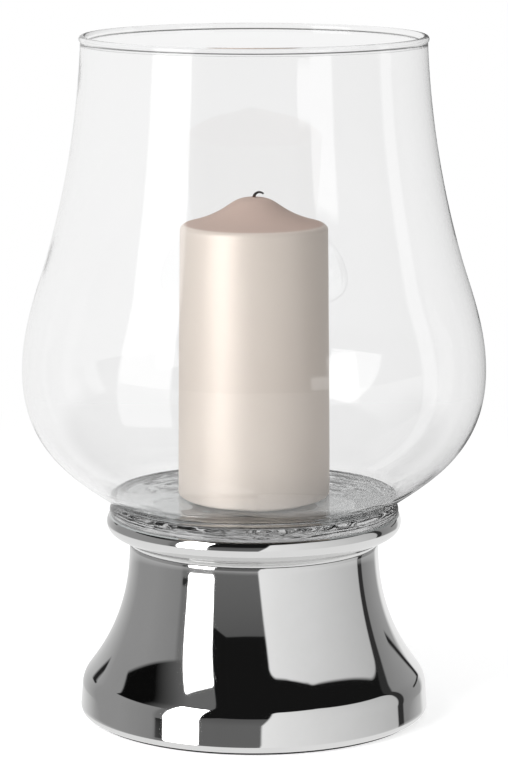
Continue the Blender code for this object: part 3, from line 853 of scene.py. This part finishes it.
# %% Directions
world = bpy.data.worlds.new("white_studio")
bpy.context.scene.world = world
world.use_nodes = True
tree = world.node_tree
tree.nodes.clear()
direction = add(tree, "ShaderNodeTexCoord").outputs["Generated"]
axes = add(tree, "ShaderNodeSeparateXYZ", {"Vector": direction})
back = add(tree, "ShaderNodeMath", {0: axes.outputs["Y"], 1: -1}, operation="MULTIPLY")
turn = add(tree, "ShaderNodeMath", {0: axes.outputs["X"], 1: back.outputs["Value"]}, operation="ARCTAN2")
lift = add(tree, "ShaderNodeMath", {0: axes.outputs["Z"]}, operation="ARCSINE")
azimuth = add(tree, "ShaderNodeMath", {0: turn.outputs["Value"]}, operation="DEGREES").outputs["Value"]
elevation = add(tree, "ShaderNodeMath", {0: lift.outputs["Value"]}, operation="DEGREES").outputs["Value"]
aim = add(tree, "ShaderNodeCombineXYZ", {"X": azimuth, "Y": elevation}).outputs["Vector"]
print("directions:", len(tree.nodes), "nodes")

# %% [markdown]
# Each card is a rectangle with rounded corners, found from how far a direction lies outside it. A card that stands
# askew has sides that lean or rise. A brightness may also change evenly between two angles, as on a board that is lit
# from one side.


# %% Slopes and cards
def slope(value, low, high, at_low, at_high):
    """A brightness that changes evenly between two angles."""
    return add(
        tree,
        "ShaderNodeMapRange",
        {"Value": value, "From Min": low, "From Max": high, "To Min": at_low, "To Max": at_high},
    ).outputs["Result"]


def card(behind, west, east, bottom, top, brightness, corner=3.0, softness=0.8, lean=0, rise=0):
    """Lays a card over what is behind it. Its sides are in degrees, and its brightness is a number or a socket.

    Its upright sides may lean to the right, and its level sides may rise to the right."""
    centre = ((west + east) / 2, (bottom + top) / 2, 0)
    core = ((east - west) / 2 - corner, (top - bottom) / 2 - corner, 0)
    off = add(tree, "ShaderNodeVectorMath", {0: aim, 1: centre}, operation="SUBTRACT").outputs["Vector"]
    if lean or rise:
        parts = add(tree, "ShaderNodeSeparateXYZ", {"Vector": off})
        across = {0: parts.outputs["Y"], 1: -lean, 2: parts.outputs["X"]}
        upward = {0: parts.outputs["X"], 1: -rise, 2: parts.outputs["Y"]}
        across = add(tree, "ShaderNodeMath", across, operation="MULTIPLY_ADD").outputs["Value"]
        upward = add(tree, "ShaderNodeMath", upward, operation="MULTIPLY_ADD").outputs["Value"]
        off = add(tree, "ShaderNodeCombineXYZ", {"X": across, "Y": upward}).outputs["Vector"]
    size = add(tree, "ShaderNodeVectorMath", {0: off}, operation="ABSOLUTE")
    past = add(tree, "ShaderNodeVectorMath", {0: size.outputs["Vector"], 1: core}, operation="SUBTRACT")
    outside = add(tree, "ShaderNodeVectorMath", {0: past.outputs["Vector"], 1: (0, 0, 0)}, operation="MAXIMUM")
    distance = add(tree, "ShaderNodeVectorMath", {0: outside.outputs["Vector"]}, operation="LENGTH")
    cover = slope(distance.outputs["Value"], corner - softness, corner + softness, 1, 0)
    laid = add(tree, "ShaderNodeMix", {"Factor": cover, "A": behind, "B": brightness})
    return laid.outputs["Result"]


# %% [markdown]
# ## The room in the metal
#
# The foot and the ring mirror nearly the whole room, and each edge of a card shows as a line on them. So the cards
# are laid one by one, each over the earlier ones, until every line falls where it should. The window is far brighter
# than white. What the metal mirrors once is dimmer when something else mirrors it again, so the window is dimmed
# after the first mirror.

# %% Room in the metal
WINDOW_LEVEL = 10.0
WINDOW_IN_GLASS = 2.4
BLACK = 0.009
RAIL = 0.02

sweep_left = slope(azimuth, -180, -130, 1.0, 0.34)
wall_right = slope(azimuth, 118, 150, 0.27, 0.40)
cloth = slope(elevation, -10, 20, 0.155, 0.11)
ceiling_left = slope(azimuth, -87, -60, 0.004, 0.16)
board = slope(azimuth, 5, 110, 0.98, 0.56)

room = slope(azimuth, -100, -66, 0.33, 0.27)  # the wall on the left
room = card(room, -200, -128, -95, 30, sweep_left, softness=6)
room = card(room, -68, -60, -95, 46, 0.16, corner=1, softness=2.5)  # the window's jamb
room = card(room, -68, -60, -8.9, -5.7, 0.03, corner=1, softness=0.6)  # and a dark bar across it
room = card(room, -38, 30, -95, 95, cloth)
room = card(room, -113, 14, 31, 195, ceiling_left, corner=1, rise=0.13)
room = card(room, -24, 132, 19.8, 95, BLACK, corner=0.5, softness=0.4)  # the ceiling on the right
room = card(room, -36, -23.5, 17, 145, BLACK, corner=0.5, softness=0.4, rise=0.5)  # and its slanting end
room = card(room, 112, 200, -95, 26, wall_right)
room = card(room, 150, 200, -60, 8, 1.0, softness=4)  # the sweep on the right
room = card(room, 134, 182, 3.7, 6.7, RAIL, corner=1, rise=0.033)  # a rail before the sweep, in two halves
room = card(room, -182, -137, 6.4, 10, RAIL, corner=1, rise=0.105)
room = card(room, 110, 117, -90, 60, 0.035, corner=2)  # the stand at the board's far end
room = card(room, 4.5, 40.2, -60, 43.5, board, corner=6, lean=0.19)  # the board, from its near end to its far end
room = card(room, 20, 64, -60, 43.5, board, corner=14)
room = card(room, 46, 110, -60, 36.1, board, corner=8, rise=-0.29)
room = card(room, -220, 220, -95, -13.5, 0.9, softness=2)  # the paper underfoot

path = add(tree, "ShaderNodeLightPath")
window_level = slope(path.outputs["Glossy Depth"], 1, 2, WINDOW_LEVEL, WINDOW_IN_GLASS)
in_metal = card(room, -61.5, -36.8, -10.5, 46.3, window_level, corner=1.5)
print("room in the metal:", len(tree.nodes), "nodes")

# %% [markdown]
# ## The room in the glass
#
# Glass mirrors only a few parts in a hundred, but it does so on four faces, so each card comes back as several faint
# lines. It gets a plainer room of its own: pale on the left and grey on the right, with the window, the board's near
# edge, a narrow strip beside the holder, and a dark ceiling.

# %% Room in the glass
BOARD_IN_GLASS = 1.5

in_glass = slope(azimuth, -62, -30, 0.85, 0.32)
in_glass = card(in_glass, 26, 200, -95, 95, 0.2, softness=2)
in_glass = card(in_glass, 28, 50, 0.5, 7, BOARD_IN_GLASS, corner=1.5)
in_glass = card(in_glass, 36.5, 52, -8, 15, BOARD_IN_GLASS, corner=1.5)
in_glass = card(in_glass, 91, 101, -55, 22, 1.0, corner=3)  # the strip
in_glass = card(in_glass, -70, -41, -23, 46.3, WINDOW_IN_GLASS, corner=3)
in_glass = card(in_glass, -220, 220, 47, 120, 0.15, softness=2)  # the ceiling
print("room in the glass:", len(tree.nodes), "nodes")

# %% [markdown]
# ## Which ray sees what
#
# Light Path tells one kind of ray from another. The camera sees plain white. Rays that go on through the glass see
# the white sweep with a dark ceiling above it, or the glass's own room where they turn back. A smooth mirror's rays
# are singular, and that is the glass; the other glossy rays come from metal and wax. All the rest is soft light, from
# an even dome.

# %% Rays
SWEEP_THROUGH_GLASS = 0.93
CEILING_LEVEL = 0.1
DOME_LEVEL = 0.45
CEILING_EDGE = (12, 24)  # degrees up, from sweep to ceiling
AWAY = (-0.05, 0.35)  # how far a direction leads away from the camera: turned back below, straight on above

ceiling = slope(elevation, *CEILING_EDGE, SWEEP_THROUGH_GLASS, CEILING_LEVEL)
ahead = slope(axes.outputs["Y"], *AWAY, 0.0, 1.0)
through = add(tree, "ShaderNodeMix", {"Factor": ahead, "A": in_glass, "B": ceiling}).outputs["Result"]
mirrored = add(
    tree,
    "ShaderNodeMix",
    {"Factor": path.outputs["Is Singular Ray"], "A": in_metal, "B": in_glass},
).outputs["Result"]
level = DOME_LEVEL
for ray, brightness in (("Is Glossy Ray", mirrored), ("Is Transmission Ray", through), ("Is Camera Ray", 1.0)):
    level = add(
        tree,
        "ShaderNodeMix",
        {"Factor": path.outputs[ray], "A": level, "B": brightness},
    ).outputs["Result"]
background = add(tree, "ShaderNodeBackground", {"Color": (1, 1, 1, 1), "Strength": level})
add(tree, "ShaderNodeOutputWorld", {"Surface": background.outputs["Background"]})
print("world:", len(tree.nodes), "nodes")

# %% [markdown]
# ## The floor
#
# The floor is a pale disc. Seen by the camera or through the glass it is lifted towards white, so that the holder's
# soft shadow stays, and past an arm's length it runs out into plain white, as a paper sweep does. Mirrored rays pass
# it and see the cards.

# %% Floor
FLOOR_RADIUS = 30.0
FLOOR_SIDES = 96

shape = bmesh.new()
bmesh.ops.create_circle(shape, cap_ends=True, segments=FLOOR_SIDES, radius=FLOOR_RADIUS)
floor = finished("studio_floor", shape)
print("floor:", FLOOR_RADIUS, "m from its middle to its edge")

# %% Paper
FLOOR_LIFT = 0.55
FLOOR_LIFT_THROUGH_GLASS = 0.36
SHADOW_REACH = (0.25, 0.9)  # metres from the axis, from lit paper to plain white

paper, tree, shader = material("matt_white_paper")
shader.inputs["Base Color"].default_value = colour("#DADADA")
shader.inputs["Roughness"].default_value = 0.9
shader.inputs["Specular IOR Level"].default_value = 0.0
path = add(tree, "ShaderNodeLightPath")
through_glass = path.outputs["Is Transmission Ray"]
direct = add(tree, "ShaderNodeMath", {0: path.outputs["Is Camera Ray"], 1: through_glass}, operation="MAXIMUM")
mirrored = add(
    tree,
    "ShaderNodeMath",
    {0: path.outputs["Is Glossy Ray"], 1: through_glass},
    operation="SUBTRACT",
    use_clamp=True,
)
lift = add(
    tree,
    "ShaderNodeMapRange",
    {"Value": through_glass, "To Min": FLOOR_LIFT, "To Max": FLOOR_LIFT_THROUGH_GLASS},
)
gain = add(tree, "ShaderNodeMath", {0: direct.outputs["Value"], 1: lift.outputs["Result"]}, operation="MULTIPLY")
glow = add(tree, "ShaderNodeEmission", {"Strength": gain.outputs["Value"]})
lit = add(tree, "ShaderNodeAddShader", {0: shader.outputs["BSDF"], 1: glow.outputs["Emission"]})

# %% Sweep
place = add(tree, "ShaderNodeNewGeometry").outputs["Position"]
reach = add(tree, "ShaderNodeVectorMath", {0: place}, operation="LENGTH").outputs["Value"]
far = add(
    tree,
    "ShaderNodeMapRange",
    {"Value": reach, "From Min": SHADOW_REACH[0], "From Max": SHADOW_REACH[1]},
    interpolation_type="SMOOTHSTEP",
)
swept = add(tree, "ShaderNodeMath", {0: direct.outputs["Value"], 1: far.outputs["Result"]}, operation="MULTIPLY")
sweep = add(tree, "ShaderNodeMapRange", {"Value": through_glass, "To Min": 1.0, "To Max": SWEEP_THROUGH_GLASS})
white = add(tree, "ShaderNodeEmission", {"Strength": sweep.outputs["Result"]})
ground = add(
    tree,
    "ShaderNodeMixShader",
    {0: swept.outputs["Value"], 1: lit.outputs["Shader"], 2: white.outputs["Emission"]},
)
gone = add(tree, "ShaderNodeBsdfTransparent")
seen = add(
    tree,
    "ShaderNodeMixShader",
    {0: mirrored.outputs["Value"], 1: ground.outputs["Shader"], 2: gone.outputs["BSDF"]},
)
tree.links.new(seen.outputs["Shader"], tree.nodes["Material Output"].inputs["Surface"])
finish_piece(floor, paper)
describe(paper)

# %% [markdown]
# ## The lamps
#
# A large soft lamp stands where the window is and a weaker one where the board is, so that light and reflections
# agree, and a wide one overhead softens the shadow. Their own reflections are left to the cards.

# %% Lamps
AIMED_AT = Vector((0, 0, 0.17))
LAMPS = (  # azimuth in degrees; height, distance, width and height of the lamp in metres; power in watts
    ("window_lamp", -45, 0.9, 1.6, 0.8, 1.4, 26),
    ("board_lamp", 60, 0.7, 1.8, 1.4, 1.2, 2),
    ("overhead_lamp", 180, 2.0, 0.4, 1.6, 1.6, 10),
)
for name, azimuth_degrees, height, distance, width, tall, power in LAMPS:
    light = bpy.data.lights.new(name, "AREA")
    light.shape = "RECTANGLE"
    light.size = width
    light.size_y = tall
    light.energy = power
    lamp = bpy.data.objects.new(name, light)
    angle = math.radians(azimuth_degrees)
    lamp.location = (distance * math.sin(angle), -distance * math.cos(angle), height)
    lamp.rotation_euler = (AIMED_AT - lamp.location).to_track_quat("-Z", "Y").to_euler()
    lamp.visible_camera = False
    lamp.visible_glossy = False
    lamp.visible_transmission = False
    bpy.context.scene.collection.objects.link(lamp)
    print(name, power, "W")

# %% [markdown]
# ## View and bounces
#
# The Standard view transform shows colours as they are written, which a product picture on white needs. A ray that
# crosses both walls of the glass and its bottom turns many times, so it may go on for longer than usual.

# %% View and bounces
BOUNCES = 24
MIRROR_BOUNCES = 12
FILM_BOUNCES = 16

scene = bpy.context.scene
scene.view_settings.view_transform = "Standard"
scene.cycles.max_bounces = BOUNCES
scene.cycles.transmission_bounces = BOUNCES
scene.cycles.glossy_bounces = MIRROR_BOUNCES
scene.cycles.transparent_max_bounces = FILM_BOUNCES
